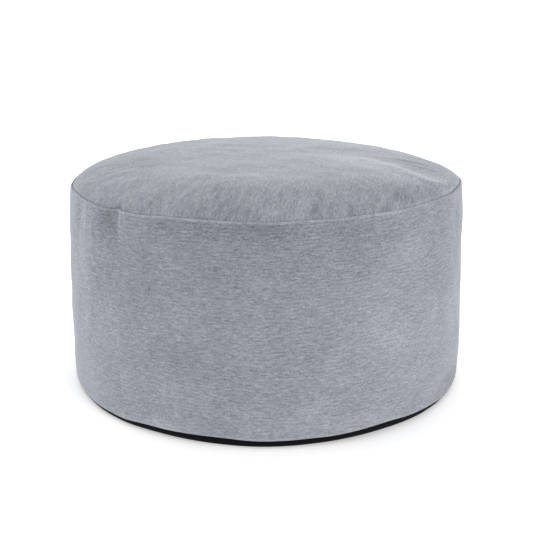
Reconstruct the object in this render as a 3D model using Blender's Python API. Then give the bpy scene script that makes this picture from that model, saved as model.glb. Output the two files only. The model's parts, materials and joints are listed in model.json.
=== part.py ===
# A round filled pouf: a crowned top panel, a side band sewn into a ring, and a black base panel.
# Sizes are in metres. The pouf stands on z = 0 with its axis on Z, and its front faces -Y.
# Each panel is a filled solid, so the three stack as the stuffed pouf does.

import math

import bpy
import numpy as np

MM = 0.001

# Driving sizes of the pouf.
SEAM_RADIUS = 0.2915
SEAM_HEIGHT = 0.3040
CROWN_RISE = 0.0358
HEM_RADIUS = 0.2994
HEM_HEIGHT = 0.0107
REST_RADIUS = 0.2885

# The band's wall is this much rounder than a straight cone, which makes it 600 mm across
# at its widest, a little above the hem.
BARREL = 0.0035

# The crown is a superellipse: a larger flatness gives a flatter middle, and a smaller
# fullness a steeper edge.
CROWN_FLATNESS = 3.00
CROWN_FULLNESS = 0.65

# Each pair of panels is this far apart.
PANEL_GAP = 0.0003

# The band ends in a soft lip where it is sewn to the top panel, and turns under in a
# tighter fold at the hem. The seams lie this far inside the wall.
LIP_DEPTH = 0.0030
LIP_HEIGHT = 0.0050
LIP_RISE = 0.0008
FOLD_DEPTH = 0.0026
BASE_TUCK = 0.0024

# The upright seam that closes the band into a ring. It pulls the cloth in, gently on its left
# and steeply on its right, where the cloth then stands up as a lip. Both fade out down the wall.
SIDE_SEAM_ANGLE = -131.6
SIDE_SEAM_DEPTH = 0.0034
SIDE_SEAM_LEFT_REACH = 0.026
SIDE_SEAM_RIGHT_REACH = 0.0034
SIDE_SEAM_LIP = 0.0012
SIDE_SEAM_LIP_OFFSET = 0.007
SIDE_SEAM_LIP_REACH = 0.006
SIDE_SEAM_FADE = 0.022
SIDE_SEAM_LEAST = 0.08

# Just there the upright seam hitches up the sewn edge above it.
SIDE_SEAM_HITCH = 0.0027
SIDE_SEAM_HITCH_REACH = 0.010

# How the sewn edges wander from their heights. Columns: angle in degrees from +X, rise in mm.
SEAM_WANDER = (
    (-172, -4.0),
    (-158, -1.4),
    (-146, -3.8),
    (-136, -4.2),
    (-127, -3.2),
    (-114, 0.2),
    (-104, 0.3),
    (-90, -0.6),
    (-78, 1.2),
    (-55, 2.6),
    (-36, 4.6),
    (-20, 3.0),
    (-5, 1.6),
    (25, -2.0),
    (60, -2.2),
    (95, 1.5),
    (130, 1.2),
    (165, -1.6),
)
HEM_WANDER = (
    (-165, -1.0),
    (-148, -3.4),
    (-133, -3.0),
    (-121, 1.0),
    (-105, 2.0),
    (-90, -0.4),
    (-76, 0.8),
    (-58, 4.0),
    (-45, 0.4),
    (-32, -2.6),
    (0, -1.0),
    (35, 1.0),
    (70, -1.0),
    (100, 1.5),
    (140, -0.5),
)
REST_WANDER = (
    (-165, 1.0),
    (-136, 3.0),
    (-118, -1.2),
    (-92, 2.8),
    (-60, -4.0),
    (-40, 0.0),
    (0, 0.0),
    (50, 1.5),
    (105, -1.0),
    (155, 0.5),
)

# The filling pushes up the crown's shoulder in front, in soft lobes that meet above a slope
# down to the seam. Plainer lobes finish the back. Columns: angle in degrees, share of the
# radius, half width in degrees, half width as a share of the radius, height in mm.
CROWN_SWELLS = (
    (-126, 0.66, 17, 0.14, 4.0),
    (-108, 0.76, 12, 0.12, 2.5),
    (-90, 0.67, 13, 0.14, 4.0),
    (-74, 0.76, 10, 0.12, 2.5),
    (-58, 0.68, 13, 0.14, 4.0),
    (-40, 0.74, 12, 0.13, 2.6),
    (15, 0.55, 22, 0.15, 1.0),
    (100, 0.60, 26, 0.16, 1.2),
    (160, 0.62, 20, 0.15, 1.0),
)

# The swells fade out towards the sewn rim: the larger, the later.
SWELL_HOLD = 12

# The soft crease on the right of the top, from the middle out to the rim. The cloth between
# it and the rim sinks. Columns: x, y, ridge height in mm, ridge half width in mm, sink in mm.
CREASE = (
    (0.055, -0.010, 0.0, 30.0, 0.0),
    (0.110, -0.034, 1.2, 28.0, 1.2),
    (0.158, -0.050, 2.2, 25.0, 2.4),
    (0.191, -0.092, 2.8, 22.0, 3.0),
    (0.218, -0.124, 3.0, 19.0, 3.2),
    (0.246, -0.122, 2.6, 16.0, 2.8),
    (0.268, -0.088, 1.6, 14.0, 1.8),
    (0.283, -0.042, 0.0, 12.0, 0.0),
)
CREASE_SINK_REACH = 0.045
CREASE_STEPS_PER_ROW = 8

# Makes the deepest point of the sink as deep as its row says.
SINK_PEAK = math.sqrt(2.0 * math.e)

# Small puckers where the top panel is eased into the seam.
# Columns: angle in degrees, half width in degrees, drop in mm, reach from the rim in mm.
RIM_PUCKERS = (
    (-134.0, 3.5, 2.6, 16.0),
    (-152.0, 3.0, 1.4, 14.0),
    (-13.0, 4.0, 3.0, 14.0),
    (-112.0, 2.5, 0.7, 10.0),
    (-49.0, 3.5, 1.2, 16.0),
    (18.0, 3.5, 1.6, 18.0),
    (74.0, 3.0, 1.2, 14.0),
    (121.0, 4.0, 1.8, 18.0),
    (163.0, 3.0, 1.2, 14.0),
)

# Dents and swells in the wall. Columns: angle in degrees, height in m, half width along the
# wall in mm, half height in mm, depth in mm, where a swell has a depth below zero.
WALL_DENTS = (
    (-178.0, 0.270, 70.0, 60.0, -1.3),
    (-137.0, 0.270, 24.0, 24.0, 1.0),
    (-148.0, 0.280, 5.0, 20.0, -1.2),
    (-152.5, 0.274, 6.0, 26.0, 1.1),
    (-143.5, 0.262, 5.0, 24.0, -0.7),
    (-34.0, 0.034, 17.0, 9.0, 1.8),
    (-42.0, 0.022, 14.0, 8.0, 1.4),
    (-24.0, 0.275, 9.0, 30.0, 0.6),
    (-8.0, 0.045, 60.0, 42.0, -2.6),
    (-4.0, 0.270, 40.0, 65.0, -2.4),
    (-30.0, 0.150, 30.0, 50.0, 0.8),
    (-75.0, 0.262, 60.0, 26.0, 0.7),
    (35.0, 0.220, 30.0, 45.0, 1.6),
    (88.0, 0.110, 45.0, 40.0, 1.3),
    (132.0, 0.235, 25.0, 40.0, 1.4),
    (170.0, 0.060, 30.0, 22.0, 1.3),
)

# The sewn edge shapes the top panel in its last few mm: the crease and the puckers fade out
# there, and the hitch fades in. The wander of the edge reaches further in.
EDGE_HOLD = 0.008
WANDER_HOLD = 4

# How finely the solids are cut. The columns beside the upright seam are given by their
# distance from it in mm, and the even ones keep clear of them.
EVEN_COLUMNS = 96
SEAM_COLUMNS = (-12.0, -5.0, -1.0, 1.0, 3.0, 5.5, 9.0, 14.0)
SEAM_COLUMN_ROOM = 8.0
CROWN_RINGS = 20
WALL_RINGS = 17
EDGE_RINGS = 5

# Rings across the hidden faces, as shares of the radius there.
FACE_SHARES = (0.45, 0.85)

SHARP_ANGLE = 50.0


def turn_between(angle, other):
    """The turn from other to angle in degrees, between -180 and 180."""
    return (angle - other + 180.0) % 360.0 - 180.0


def wander(table, angles):
    """The table's values in metres at these angles, easing from each row to the next."""
    rows = sorted(table)
    first, last = rows[0], rows[-1]
    rows = [(last[0] - 360.0, last[1]), *rows, (first[0] + 360.0, first[1])]
    found = np.zeros_like(angles)
    turned = (angles - rows[1][0]) % 360.0 + rows[1][0]
    for (start, low), (end, high) in zip(rows, rows[1:]):
        share = (turned - start) / (end - start)
        inside = (share >= 0.0) & (share <= 1.0)
        eased = (1.0 - np.cos(share * math.pi)) / 2.0
        found = np.where(inside, low + (high - low) * eased, found)
    return found * MM


def column_angles():
    """Columns spaced evenly round the pouf, with narrower ones beside the upright seam."""
    close = [SIDE_SEAM_ANGLE + math.degrees(mm * MM / SEAM_RADIUS) for mm in SEAM_COLUMNS]
    room = math.degrees(SEAM_COLUMN_ROOM * MM / SEAM_RADIUS)
    even = [step * 360.0 / EVEN_COLUMNS - 180.0 for step in range(EVEN_COLUMNS)]
    kept = [a for a in even if not close[0] - room < a < close[-1] + room]
    return np.array(sorted(kept + close))


def crown_height(angles, share):
    """The crown's rise over the seam at this share of its radius, 0 in the middle."""
    plain = CROWN_RISE * (1.0 - share**CROWN_FLATNESS) ** CROWN_FULLNESS
    swell = 0.0
    for angle, at, width, reach, height in CROWN_SWELLS:
        across = turn_between(angles, angle) / width
        swell = swell + height * MM * np.exp(-(across**2) - ((share - at) / reach) ** 2)
    return plain + swell * (1.0 - share**SWELL_HOLD)


def crease_path():
    """Points along the crease on a smooth curve through the table's rows."""
    rows = np.array(CREASE)
    padded = np.vstack([2 * rows[0] - rows[1], rows, 2 * rows[-1] - rows[-2]])
    points = []
    for index in range(1, len(rows)):
        before, start, end, after = padded[index - 1 : index + 3]
        for step in range(CREASE_STEPS_PER_ROW):
            t = step / CREASE_STEPS_PER_ROW
            bend = (2 * before - 5 * start + 4 * end - after) * t**2
            twist = (3 * start - before - 3 * end + after) * t**3
            points.append((2 * start + (end - before) * t + bend + twist) / 2)
    return np.array(points)


def crease_lift(x, y):
    """How far the crease lifts the cloth, and how far the cloth outside it sinks."""
    path = crease_path()
    off_x = x[..., None] - path[:, 0]
    off_y = y[..., None] - path[:, 1]
    away = np.hypot(off_x, off_y)
    near = away.argmin(axis=-1)
    distance = away.min(axis=-1)
    ahead = np.gradient(path[:, :2], axis=0)[near]
    here_x = np.take_along_axis(off_x, near[..., None], -1)[..., 0]
    here_y = np.take_along_axis(off_y, near[..., None], -1)[..., 0]
    outside = ahead[..., 0] * here_y - ahead[..., 1] * here_x > 0.0
    ridge, width, sink = (path[near, column] * MM for column in (2, 3, 4))
    lift = ridge * np.exp(-((distance / width) ** 2))
    hollow = distance / CREASE_SINK_REACH
    fall = sink * SINK_PEAK * hollow * np.exp(-(hollow**2))
    return lift - np.where(outside, fall, 0.0)


def pucker_drop(angles, inset):
    """How far the puckers pull the top panel down, at these distances in from its rim."""
    drop = 0.0
    for angle, width, depth, reach in RIM_PUCKERS:
        across = turn_between(angles, angle) / width
        drop = drop + depth * MM * np.exp(-(across**2) - (inset / (reach * MM)) ** 2)
    return drop


def wall_radius(share):
    """The plain radius of the wall, at shares from 0 at the seam to 1 at the hem."""
    cone = SEAM_RADIUS + (HEM_RADIUS - SEAM_RADIUS) * share
    return cone + BARREL * 4.0 * share * (1.0 - share)


def wall_relief(angles, heights):
    """How far dents, swells and the upright seam move the wall outwards."""
    relief = 0.0
    for angle, height, across, tall, depth in WALL_DENTS:
        along = np.radians(turn_between(angles, angle)) * SEAM_RADIUS / (across * MM)
        relief = relief - depth * MM * np.exp(-(along**2) - ((heights - height) / (tall * MM)) ** 2)
    along = np.radians(turn_between(angles, SIDE_SEAM_ANGLE)) * SEAM_RADIUS
    reach = np.where(along < 0.0, SIDE_SEAM_LEFT_REACH, SIDE_SEAM_RIGHT_REACH)
    pull = SIDE_SEAM_DEPTH * np.exp(-((along / reach) ** 2))
    lip = SIDE_SEAM_LIP * np.exp(-(((along - SIDE_SEAM_LIP_OFFSET) / SIDE_SEAM_LIP_REACH) ** 2))
    below = np.maximum(0.0, SEAM_HEIGHT - heights) / SIDE_SEAM_FADE
    fade = SIDE_SEAM_LEAST + (1.0 - SIDE_SEAM_LEAST) * np.exp(-(below**2))
    return relief + (lip - pull) * fade


def seam_hitch(angles):
    """How far the upright seam hitches up the sewn edge above it."""
    along = np.radians(turn_between(angles, SIDE_SEAM_ANGLE)) * SEAM_RADIUS
    return SIDE_SEAM_HITCH * np.exp(-((along / SIDE_SEAM_HITCH_REACH) ** 2))


def seam_heights(angles):
    """The height of the sewn edge between the top panel and the band."""
    return SEAM_HEIGHT + wander(SEAM_WANDER, angles) + seam_hitch(angles)


def ring(angles, radii, heights):
    """One closed ring of points."""
    turned = np.radians(angles)
    columns = np.cos(turned) * radii, np.sin(turned) * radii, heights + 0.0 * turned
    return np.stack(columns, axis=-1)


def face_rings(angles, edge_radii, edge_heights, middle_height):
    """Rings across a hidden face, from near its middle to near its edge."""
    rings = []
    for share in FACE_SHARES:
        heights = middle_height + (edge_heights - middle_height) * share**2
        rings.append(ring(angles, edge_radii * share, heights))
    return rings


def cloth_material(name, color, roughness):
    material = bpy.data.materials.new(name)
    material.use_nodes = True
    shader = material.node_tree.nodes["Principled BSDF"]
    shader.inputs["Base Color"].default_value = (*color, 1.0)
    shader.inputs["Roughness"].default_value = roughness
    shader.inputs["Metallic"].default_value = 0.0
    return material


def stacked_solid(name, rings, top, bottom, material):
    """A closed solid from rings of points, read from its top middle round to its underside."""
    count = len(rings[0])
    points = [(0.0, 0.0, top), *np.concatenate(rings).tolist(), (0.0, 0.0, bottom)]
    last = len(points) - 1
    faces = []
    for column in range(count):
        after = (column + 1) % count
        faces.append((0, 1 + column, 1 + after))
        for level in range(len(rings) - 1):
            upper = 1 + level * count
            lower = upper + count
            faces.append((upper + column, lower + column, lower + after, upper + after))
        lowest = 1 + (len(rings) - 1) * count
        faces.append((last, lowest + after, lowest + column))
    mesh = bpy.data.meshes.new(name)
    mesh.from_pydata(points, [], faces)
    mesh.materials.append(material)
    mesh.shade_smooth()
    mesh.set_sharp_from_angle(angle=math.radians(SHARP_ANGLE))
    solid = bpy.data.objects.new(name, mesh)
    bpy.context.scene.collection.objects.link(solid)
    return solid


def make_top_panel(angles, material):
    """The crowned top, closed below by the face that lies on the band."""
    seam = seam_heights(angles) + PANEL_GAP / 2
    middle = SEAM_HEIGHT + PANEL_GAP / 2
    rings = []
    for step in range(1, CROWN_RINGS + 1):
        turn = step / CROWN_RINGS * math.pi / 2
        share = math.sin(turn) ** (2.0 / CROWN_FLATNESS)
        inset = SEAM_RADIUS * (1.0 - share)
        held = math.exp(-((inset / EDGE_HOLD) ** 2))
        radii = (SEAM_RADIUS - LIP_DEPTH + wall_relief(angles, seam) * held) * share
        x = np.cos(np.radians(angles)) * radii
        y = np.sin(np.radians(angles)) * radii
        edge = wander(SEAM_WANDER, angles) * share**WANDER_HOLD + seam_hitch(angles) * held
        relief = crease_lift(x, y) - pucker_drop(angles, inset)
        height = middle + edge + crown_height(angles, share) + relief * (1.0 - held)
        rings.append(ring(angles, radii, height))
    rings += reversed(face_rings(angles, radii, seam, middle))
    return stacked_solid("top_panel", rings, middle + CROWN_RISE, middle, material)


def make_side_band(angles, material):
    """The drum's wall with its lip at the seam and its fold at the hem, filled between."""
    seam = seam_heights(angles) - PANEL_GAP / 2
    hem = HEM_HEIGHT + PANEL_GAP / 2 + wander(HEM_WANDER, angles)
    sewn = SEAM_RADIUS - LIP_DEPTH + wall_relief(angles, seam)
    rings = face_rings(angles, sewn, seam, SEAM_HEIGHT - PANEL_GAP / 2)
    rings.append(ring(angles, sewn, seam))
    for step in range(EDGE_RINGS):
        turn = step / EDGE_RINGS * math.pi / 2
        out = sewn + PANEL_GAP + (LIP_DEPTH - PANEL_GAP) * math.sin(turn)
        rise = (LIP_RISE + LIP_HEIGHT) * math.cos(turn) - LIP_HEIGHT
        rings.append(ring(angles, out, seam + rise))
    for step in range(WALL_RINGS + 1):
        share = (1.0 - math.cos(step / WALL_RINGS * math.pi)) / 2.0
        height = (seam - LIP_HEIGHT) * (1.0 - share) + (hem + FOLD_DEPTH) * share
        radii = wall_radius(share) + wall_relief(angles, height)
        rings.append(ring(angles, radii, height))
    tucked = HEM_RADIUS - FOLD_DEPTH
    for step in range(1, EDGE_RINGS + 1):
        turn = step / EDGE_RINGS * math.pi / 2
        relief = wall_relief(angles, hem)
        out = tucked + FOLD_DEPTH * math.cos(turn) + relief
        rings.append(ring(angles, out, hem + FOLD_DEPTH * (1.0 - math.sin(turn))))
    rings += reversed(face_rings(angles, tucked, hem, HEM_HEIGHT + PANEL_GAP / 2))
    top = SEAM_HEIGHT - PANEL_GAP / 2
    return stacked_solid("side_band", rings, top, HEM_HEIGHT + PANEL_GAP / 2, material)


def make_base_panel(angles, material):
    """The black base: flat where it rests, and bulging out and up to the hem at its edge."""
    hem = HEM_HEIGHT - PANEL_GAP / 2 + wander(HEM_WANDER, angles)
    rest = REST_RADIUS + wander(REST_WANDER, angles)
    sewn = HEM_RADIUS - BASE_TUCK + wall_relief(angles, hem)
    rings = face_rings(angles, sewn, hem, HEM_HEIGHT - PANEL_GAP / 2)
    for step in range(EDGE_RINGS + 1):
        turn = step / EDGE_RINGS * math.pi / 2
        out = rest + (sewn - rest) * math.cos(turn)
        rings.append(ring(angles, out, hem * (1.0 - math.sin(turn))))
    rings += reversed(face_rings(angles, rest, 0.0 * hem, 0.0))
    return stacked_solid("base_panel", rings, HEM_HEIGHT - PANEL_GAP / 2, 0.0, material)


def main():
    for old in list(bpy.data.objects):
        bpy.data.objects.remove(old, do_unlink=True)
    angles = column_angles()
    grey_cloth = cloth_material("grey_chenille", (0.31, 0.33, 0.37), 0.9)
    black_cloth = cloth_material("black_base_cloth", (0.008, 0.009, 0.011), 0.75)
    make_top_panel(angles, grey_cloth)
    make_side_band(angles, grey_cloth)
    make_base_panel(angles, black_cloth)


main()
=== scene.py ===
# %% [markdown]
# # A round pouf in grey chenille
#
# The real pouf is a sewn cover, filled until it stands by itself like a drum. Its maker cuts three
# pieces: a round top, a long strip that becomes the side, and a round black base. This lesson makes
# each of them as one fine mesh around a packed, plainer model of the same pouf, dresses them in
# woven cloth, and lights them as in a white photo studio.
#
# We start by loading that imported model. It gives the box that our finer pouf has to keep to.

import json
import math

import bpy
import numpy as np
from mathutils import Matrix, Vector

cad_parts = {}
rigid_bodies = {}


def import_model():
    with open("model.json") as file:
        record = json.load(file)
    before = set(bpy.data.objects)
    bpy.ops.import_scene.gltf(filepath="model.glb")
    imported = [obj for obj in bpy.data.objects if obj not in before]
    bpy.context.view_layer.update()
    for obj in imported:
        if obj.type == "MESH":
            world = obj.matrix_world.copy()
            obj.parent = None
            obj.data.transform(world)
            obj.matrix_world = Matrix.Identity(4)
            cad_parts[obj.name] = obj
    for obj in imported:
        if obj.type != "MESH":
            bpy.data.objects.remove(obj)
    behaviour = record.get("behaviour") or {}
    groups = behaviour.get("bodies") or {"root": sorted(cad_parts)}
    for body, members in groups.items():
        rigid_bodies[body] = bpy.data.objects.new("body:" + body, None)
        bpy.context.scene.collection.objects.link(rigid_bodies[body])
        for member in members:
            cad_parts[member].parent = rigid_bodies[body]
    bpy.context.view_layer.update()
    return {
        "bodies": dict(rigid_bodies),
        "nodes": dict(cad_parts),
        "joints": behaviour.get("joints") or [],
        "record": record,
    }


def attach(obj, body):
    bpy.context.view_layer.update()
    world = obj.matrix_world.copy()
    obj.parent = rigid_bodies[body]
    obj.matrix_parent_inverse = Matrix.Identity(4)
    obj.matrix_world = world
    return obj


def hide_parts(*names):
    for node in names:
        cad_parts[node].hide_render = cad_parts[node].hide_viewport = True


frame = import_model()
MM = 0.001
print("packed nodes:", sorted(frame["nodes"]))

# %% [markdown]
# ## The camera
#
# The photograph looks down on the pouf by about 17 degrees, from a little under one and a half
# metres in front of its middle. A lens of 65 mm on a 36 mm sensor makes the drum fill three
# quarters of the square picture, and keeps the upright sides almost parallel. The pouf stands a
# fraction of a millimetre left of the picture's middle, which a tiny shift of the lens takes up.

# %% Place the camera
CAMERA_BACK = 1.4388
CAMERA_HEIGHT = 0.5945
CAMERA_PITCH = 16.78
LENS = 64.92
LENS_SHIFT = 0.0011

camera_data = bpy.data.cameras.new("camera")
camera_data.lens = LENS
camera_data.sensor_width = 36.0
camera_data.shift_x = LENS_SHIFT
camera = bpy.data.objects.new("camera", camera_data)
camera.location = (0.0, -CAMERA_BACK, CAMERA_HEIGHT)
camera.rotation_euler = (math.radians(90.0 - CAMERA_PITCH), 0.0, 0.0)
bpy.context.scene.collection.objects.link(camera)
bpy.context.scene.camera = camera
print("camera at", tuple(round(value, 3) for value in camera.location))

# %% [markdown]
# ## Colours and nodes
#
# Colours are written as they look on a screen, as hex values. Blender mixes light in linear
# values, so one function turns the first into the second. Another feeds a node's inputs, each with
# another node's output or with a plain value. The third adds a node, sets it up and feeds it.

# %% Helpers for materials
def linear(hex_color):
    """An sRGB hex colour as linear red, green, blue and alpha."""
    parts = [int(hex_color[at : at + 2], 16) / 255.0 for at in (1, 3, 5)]
    return (*[p / 12.92 if p <= 0.04045 else ((p + 0.055) / 1.055) ** 2.4 for p in parts], 1.0)


def feed(node, inputs):
    """Links or fills a node's inputs, which are given by name or place."""
    for key, value in inputs.items():
        if isinstance(value, bpy.types.NodeSocket):
            node.id_data.links.new(value, node.inputs[key])
        else:
            node.inputs[key].default_value = value


def add_node(tree, kind, inputs=None, **settings):
    """Adds a node to a material's tree, with its settings and inputs."""
    node = tree.nodes.new(kind)
    for name, value in settings.items():
        setattr(node, name, value)
    feed(node, inputs or {})
    return node


print("mid grey in linear light:", round(linear("#808080")[0], 3))

# %% [markdown]
# ## The studio
#
# The photograph was taken on white paper, with soft light from all around. We lay a plain floor and
# let a paper sweep rise behind it in a curve, which is how a photographer hides the horizon. A
# pale world fills every shadow. Large soft lamps then shape the drum: those at the sides and behind
# make its outline and its top lighter, and the strongest, at the front right, keeps the right half
# of the wall a little lighter than the left.

# %% Make the floor and the sweep
WHITE = (1.0, 1.0, 1.0, 1.0)
FLOOR_HALF = 40.0
FLOOR_GLOW = 0.313
SWEEP_HALF = 8.0
SWEEP_START = 2.2
SWEEP_BEND = 0.8
SWEEP_HEIGHT = 2.4
SWEEP_GLOW = 0.32
SWEEP_STEPS = 12


def paper(name, glow):
    """Matt white paper, with the glow that it has where it is lit a little brighter."""
    material = bpy.data.materials.new(name)
    material.use_nodes = True
    look = {"Base Color": linear("#f5f5f5"), "Roughness": 0.9, "Specular IOR Level": 0.0}
    light = {"Emission Color": WHITE, "Emission Strength": glow}
    feed(material.node_tree.nodes["Principled BSDF"], look | light)
    return material


def lay_paper(name, points, faces, material):
    mesh = bpy.data.meshes.new(name)
    mesh.from_pydata(points, [], faces)
    mesh.materials.append(material)
    mesh.shade_smooth()
    sheet = bpy.data.objects.new(name, mesh)
    bpy.context.scene.collection.objects.link(sheet)


corners = [(x * FLOOR_HALF, y * FLOOR_HALF, 0.0) for x, y in ((-1, -1), (1, -1), (1, 1), (-1, 1))]
lay_paper("floor", corners, [(0, 1, 2, 3)], paper("floor_paper", FLOOR_GLOW))

turns = [step / SWEEP_STEPS * math.pi / 2 for step in range(SWEEP_STEPS + 1)]
profile = [(SWEEP_START + SWEEP_BEND * math.sin(t), MM + SWEEP_BEND * (1 - math.cos(t))) for t in turns]
profile.append((SWEEP_START + SWEEP_BEND, SWEEP_HEIGHT))
edges = [(x, y, z) for y, z in profile for x in (-SWEEP_HALF, SWEEP_HALF)]
strips = [(2 * at, 2 * at + 1, 2 * at + 3, 2 * at + 2) for at in range(len(profile) - 1)]
lay_paper("sweep", edges, strips, paper("sweep_paper", SWEEP_GLOW))
print("the sweep stands", SWEEP_START + SWEEP_BEND, "m behind the pouf")

# %% Light the studio
WORLD_STRENGTH = 0.40
world = bpy.data.worlds.new("white_studio")
world.use_nodes = True
feed(world.node_tree.nodes["Background"], {"Color": WHITE, "Strength": WORLD_STRENGTH})
bpy.context.scene.world = world

# Columns: name, place in metres, side length in metres, power in watts.
LAMPS = (
    ("top", (0.0, 0.0, 2.4), 2.0, 14.4),
    ("back_low", (0.0, 2.1, 0.7), 1.2, 4.0),
    ("back_low_right", (1.05, 1.82, 0.7), 1.2, 13.0),
    ("back_left", (-2.0, 1.4, 1.0), 1.6, 14.6),
    ("left", (-2.4, -0.6, 1.0), 1.6, 19.3),
    ("right", (2.4, -0.6, 1.0), 1.6, 8.3),
    ("front_right", (1.8, -2.2, 1.2), 1.4, 26.5),
)
LAMP_AIM = Vector((0.0, 0.0, 0.2))
for name, place, side, power in LAMPS:
    lamp_data = bpy.data.lights.new(name, "AREA")
    lamp_data.size = side
    lamp_data.energy = power
    lamp = bpy.data.objects.new(name, lamp_data)
    lamp.location = place
    lamp.rotation_euler = (LAMP_AIM - lamp.location).to_track_quat("-Z", "Y").to_euler()
    bpy.context.scene.collection.objects.link(lamp)

bpy.context.scene.view_settings.view_transform = "Standard"
print("lamps:", [name for name, *_ in LAMPS])

# %% [markdown]
# ## The drum's sizes
#
# A filled cover is never a perfect drum: its sewn edges wander by a few millimetres, and its wall
# bellies out. We describe the plain drum with a few driving sizes, which are those of the packed
# model, and then add what makes it cloth: the wander of the edges, dents, a crease and puckers.
# Angles run anticlockwise seen from above, with -90 degrees at the front.

# %% Driving sizes
SEAM_RADIUS = 0.2915
SEAM_HEIGHT = 0.3040
CROWN_RISE = 0.0358
CROWN_FLATNESS = 3.00
CROWN_FULLNESS = 0.65
HEM_RADIUS = 0.2994
HEM_HEIGHT = 0.0107
REST_RADIUS = 0.2885
BARREL = 0.0035
PANEL_GAP = 0.0003

LIP_DEPTH = 0.0030
FOLD_DEPTH = 0.0026
BASE_TUCK = 0.0024


def turn_between(angle, other):
    """The turn from other to angle in degrees, between -180 and 180."""
    return (angle - other + 180.0) % 360.0 - 180.0


def arc_between(angles, other):
    """The way along the seam from an angle to these angles, in metres."""
    return np.radians(turn_between(angles, other)) * SEAM_RADIUS


def on_circle(angles, radii):
    """The x and y of points at these angles and distances from the axis."""
    turned = np.radians(angles)
    return np.cos(turned) * radii, np.sin(turned) * radii


def bump(distance, reach):
    """A soft bell: 1 in the middle, and almost nothing at twice its reach."""
    return np.exp(-((distance / reach) ** 2))


# %% [markdown]
# ## Sewn edges that wander
#
# The tables give the height of each sewn edge at a few angles, in millimetres above or below its
# plain height. Between two rows we ease with half a cosine wave, because a seam pulled by its
# filling bends softly and never has a corner. Straight lines between rows would show as kinks.

# %% Edges that wander
# Columns: angle in degrees, rise in mm.
SEAM_WANDER = (
    (-172, -4.0), (-158, -1.4), (-146, -3.8), (-136, -4.2), (-127, -3.2), (-114, 0.2),
    (-104, 0.3), (-90, -0.6), (-78, 1.2), (-55, 2.6), (-36, 4.6), (-20, 3.0), (-5, 1.6),
    (25, -2.0), (60, -2.2), (95, 1.5), (130, 1.2), (165, -1.6),
)
HEM_WANDER = (
    (-165, -1.0), (-148, -3.4), (-133, -3.0), (-121, 1.0), (-105, 2.0), (-90, -0.4), (-76, 0.8),
    (-58, 4.0), (-45, 0.4), (-32, -2.6), (0, -1.0), (35, 1.0), (70, -1.0), (100, 1.5),
    (140, -0.5),
)
REST_WANDER = (
    (-165, 1.0), (-136, 3.0), (-118, -1.2), (-92, 2.8), (-60, -4.0), (-40, 0.0), (0, 0.0),
    (50, 1.5), (105, -1.0), (155, 0.5),
)


def wander(table, angles):
    """The table's values in metres at these angles, easing from each row to the next."""
    rows = sorted(table)
    first, last = rows[0], rows[-1]
    rows = [(last[0] - 360.0, last[1]), *rows, (first[0] + 360.0, first[1])]
    turned = (angles - first[0]) % 360.0 + first[0]
    found = np.zeros_like(turned)
    for (start, low), (end, high) in zip(rows, rows[1:]):
        share = (turned - start) / (end - start)
        eased = (1.0 - np.cos(share * math.pi)) / 2.0
        found = np.where((share >= 0.0) & (share <= 1.0), low + (high - low) * eased, found)
    return found * MM


print("top seam wanders by mm:", np.round(wander(SEAM_WANDER, np.arange(-180.0, 180.0, 60.0)) / MM, 1))

# %% [markdown]
# ## The upright seam
#
# The side is one strip of cloth, and its two ends meet in an upright seam at the upper left. The
# seam allowance behind it pushes up the cloth on its right, which stands as a small lip, while the
# cloth on its left lies lower and in shade. Just under the top seam, where four layers are sewn
# together, the step is strong, and it soon melts into the wall. It also hitches up the top seam.

# %% The upright seam
SIDE_SEAM_ANGLE = -131.6
SIDE_SEAM_DEPTH = 0.0034
SIDE_SEAM_LEFT_REACH = 0.026
SIDE_SEAM_RIGHT_REACH = 0.0034
SIDE_SEAM_LIP = 0.0012
SIDE_SEAM_LIP_OFFSET = 0.007
SIDE_SEAM_LIP_REACH = 0.006
SIDE_SEAM_FADE = 0.022
SIDE_SEAM_LEAST = 0.08
SIDE_SEAM_HITCH = 0.0027
SIDE_SEAM_HITCH_REACH = 0.010


def side_seam_relief(angles, heights):
    """How far the upright seam pulls the wall in, and pushes out the lip on its right."""
    along = arc_between(angles, SIDE_SEAM_ANGLE)
    reach = np.where(along < 0.0, SIDE_SEAM_LEFT_REACH, SIDE_SEAM_RIGHT_REACH)
    pull = SIDE_SEAM_DEPTH * bump(along, reach)
    lip = SIDE_SEAM_LIP * bump(along - SIDE_SEAM_LIP_OFFSET, SIDE_SEAM_LIP_REACH)
    below = np.maximum(0.0, SEAM_HEIGHT - heights)
    fade = SIDE_SEAM_LEAST + (1.0 - SIDE_SEAM_LEAST) * bump(below, SIDE_SEAM_FADE)
    return (lip - pull) * fade


def seam_hitch(angles):
    """How far the upright seam hitches up the sewn edge above it."""
    return SIDE_SEAM_HITCH * bump(arc_between(angles, SIDE_SEAM_ANGLE), SIDE_SEAM_HITCH_REACH)


def seam_heights(angles):
    """The height of the sewn edge between the top and the side."""
    return SEAM_HEIGHT + wander(SEAM_WANDER, angles) + seam_hitch(angles)


print("the top seam's height there in m:", seam_heights(np.array([SIDE_SEAM_ANGLE])).round(4))
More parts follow.
